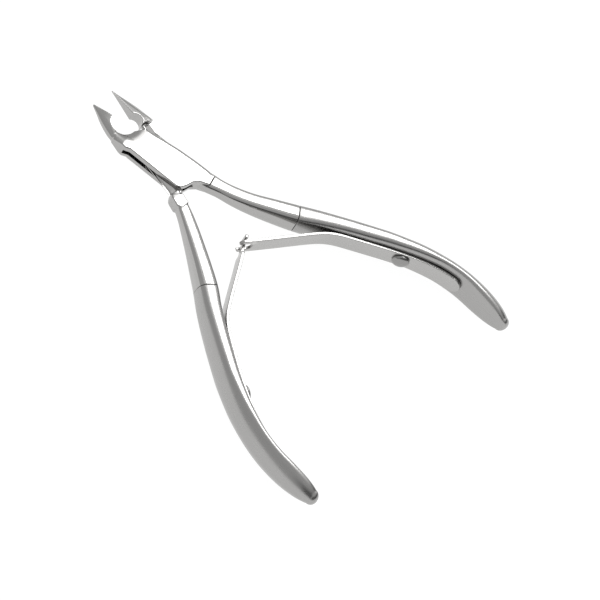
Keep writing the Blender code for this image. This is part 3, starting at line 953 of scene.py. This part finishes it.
def make_floor():
    """A white floor that is bright enough to show no shadow."""
    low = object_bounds()[0]
    bpy.ops.mesh.primitive_plane_add(size=FLOOR_SIZE, location=(0, 0, low.z - FLOOR_DROP))
    floor = bpy.context.object
    floor.name = "floor"
    material = bpy.data.materials.new("floor_white")
    material.use_nodes = True
    shader = material.node_tree.nodes["Principled BSDF"]
    shader.inputs["Base Color"].default_value = grey(FLOOR_COLOUR)
    shader.inputs["Roughness"].default_value = 0.9
    shader.inputs["Emission Color"].default_value = grey(1.0)
    shader.inputs["Emission Strength"].default_value = FLOOR_GLOW
    floor.data.materials.append(material)


def make_key_light():
    """A large soft box over the tool's right side, which the front faces mirror."""
    data = bpy.data.lights.new("key", "AREA")
    data.shape = "SQUARE"
    data.size = KEY_SIZE
    data.energy = KEY_WATTS
    light = bpy.data.objects.new("key", data)
    bpy.context.scene.collection.objects.link(light)
    light.location = KEY_TARGET + KEY_DIRECTION * KEY_DISTANCE
    light.rotation_mode = "QUATERNION"
    light.rotation_quaternion = (-KEY_DIRECTION).to_track_quat("-Z", "Y")


def ramp_of(nodes, first, last, stops):
    """A colour ramp in greys, from the first value to the last with stops between."""
    ramp = nodes.new("ShaderNodeValToRGB")
    elements = ramp.color_ramp.elements
    elements[0].position = 0.0
    elements[0].color = grey(first)
    elements[1].position = 1.0
    elements[1].color = grey(last)
    for position, value in stops:
        stop = elements.new(position)
        stop.color = grey(value)
    return ramp


def stepped(nodes, low, high, top):
    """A soft step from 0 to a top value, between two input values."""
    step = nodes.new("ShaderNodeMapRange")
    step.interpolation_type = "SMOOTHSTEP"
    step.inputs["From Min"].default_value = low
    step.inputs["From Max"].default_value = high
    step.inputs["To Max"].default_value = top
    return step


def mixed(nodes, links, blend, first, second):
    """Two colours mixed by a blend mode."""
    mix = nodes.new("ShaderNodeMix")
    mix.data_type = "RGBA"
    mix.blend_type = blend
    mix.inputs[0].default_value = 1.0
    links.new(first, mix.inputs[6])
    links.new(second, mix.inputs[7])
    return mix.outputs[2]


def toward(nodes, links, place, direction):
    """The cosine of the angle between the view's direction and a fixed one."""
    facing = nodes.new("ShaderNodeVectorMath")
    facing.operation = "DOT_PRODUCT"
    facing.inputs[1].default_value = direction
    links.new(place.outputs["Generated"], facing.inputs[0])
    return facing.outputs["Value"]


def make_world():
    """Studio walls: a darker band at eye level, a light ceiling, and the glow of two soft boxes."""
    world = bpy.data.worlds.new("studio")
    bpy.context.scene.world = world
    world.use_nodes = True
    nodes = world.node_tree.nodes
    links = world.node_tree.links
    place = nodes.new("ShaderNodeTexCoord")
    parts = nodes.new("ShaderNodeSeparateXYZ")
    links.new(place.outputs["Generated"], parts.inputs["Vector"])
    bands = ramp_of(nodes, WORLD_LOW, WORLD_TOP, WORLD_BANDS)
    links.new(parts.outputs["Z"], bands.inputs["Fac"])
    far_wall = stepped(nodes, *FAR_WALL_Y, FAR_WALL)
    links.new(parts.outputs["Y"], far_wall.inputs["Value"])
    walls = mixed(nodes, links, "LIGHTEN", bands.outputs["Color"], far_wall.outputs["Result"])

    angle = nodes.new("ShaderNodeMath")
    angle.operation = "ARCCOSINE"
    links.new(toward(nodes, links, place, KEY_DIRECTION), angle.inputs[0])
    share = nodes.new("ShaderNodeMath")
    share.operation = "DIVIDE"
    share.inputs[1].default_value = math.radians(KEY_REACH)
    links.new(angle.outputs[0], share.inputs[0])
    glow = ramp_of(nodes, KEY_CENTRE, 0.0, [(degrees / KEY_REACH, value) for degrees, value in KEY_RINGS])
    glow.color_ramp.interpolation = "EASE"
    links.new(share.outputs[0], glow.inputs["Fac"])
    fill = stepped(nodes, math.cos(math.radians(FILL_REACH)), math.cos(math.radians(FILL_REACH / 2)),
                   FILL_STRENGTH)
    links.new(toward(nodes, links, place, FILL_DIRECTION), fill.inputs["Value"])
    boxes = mixed(nodes, links, "ADD", glow.outputs["Color"], fill.outputs["Result"])
    links.new(mixed(nodes, links, "ADD", walls, boxes), nodes["Background"].inputs["Color"])


def make_camera():
    """The camera of the picture: above and beside the tool, from its left."""
    azimuth, elevation, roll = (math.radians(angle) for angle in CAMERA_ANGLES)
    back = Vector((math.sin(azimuth) * math.cos(elevation), -math.cos(azimuth) * math.cos(elevation),
                   math.sin(elevation)))
    level = Vector((0, 0, 1)).cross(back).normalized()
    above = back.cross(level)
    right = math.cos(roll) * level + math.sin(roll) * above
    up = -math.sin(roll) * level + math.cos(roll) * above
    data = bpy.data.cameras.new("camera")
    data.sensor_width = 36.0
    data.lens = CAMERA_SCALE * CAMERA_DISTANCE / PICTURE_SIZE * data.sensor_width
    data.shift_x = CAMERA_SHIFT[0] / PICTURE_SIZE
    data.shift_y = CAMERA_SHIFT[1] / PICTURE_SIZE
    data.clip_start = 0.05
    data.clip_end = 20.0
    camera = bpy.data.objects.new("camera", data)
    bpy.context.scene.collection.objects.link(camera)
    camera.matrix_world = Matrix.Translation(CAMERA_TARGET + back * CAMERA_DISTANCE) @ Matrix(
        (right, up, back)).transposed().to_4x4()
    bpy.context.scene.camera = camera


make_floor()
make_world()
make_key_light()
make_camera()
bpy.context.scene.view_settings.view_transform = "Standard"
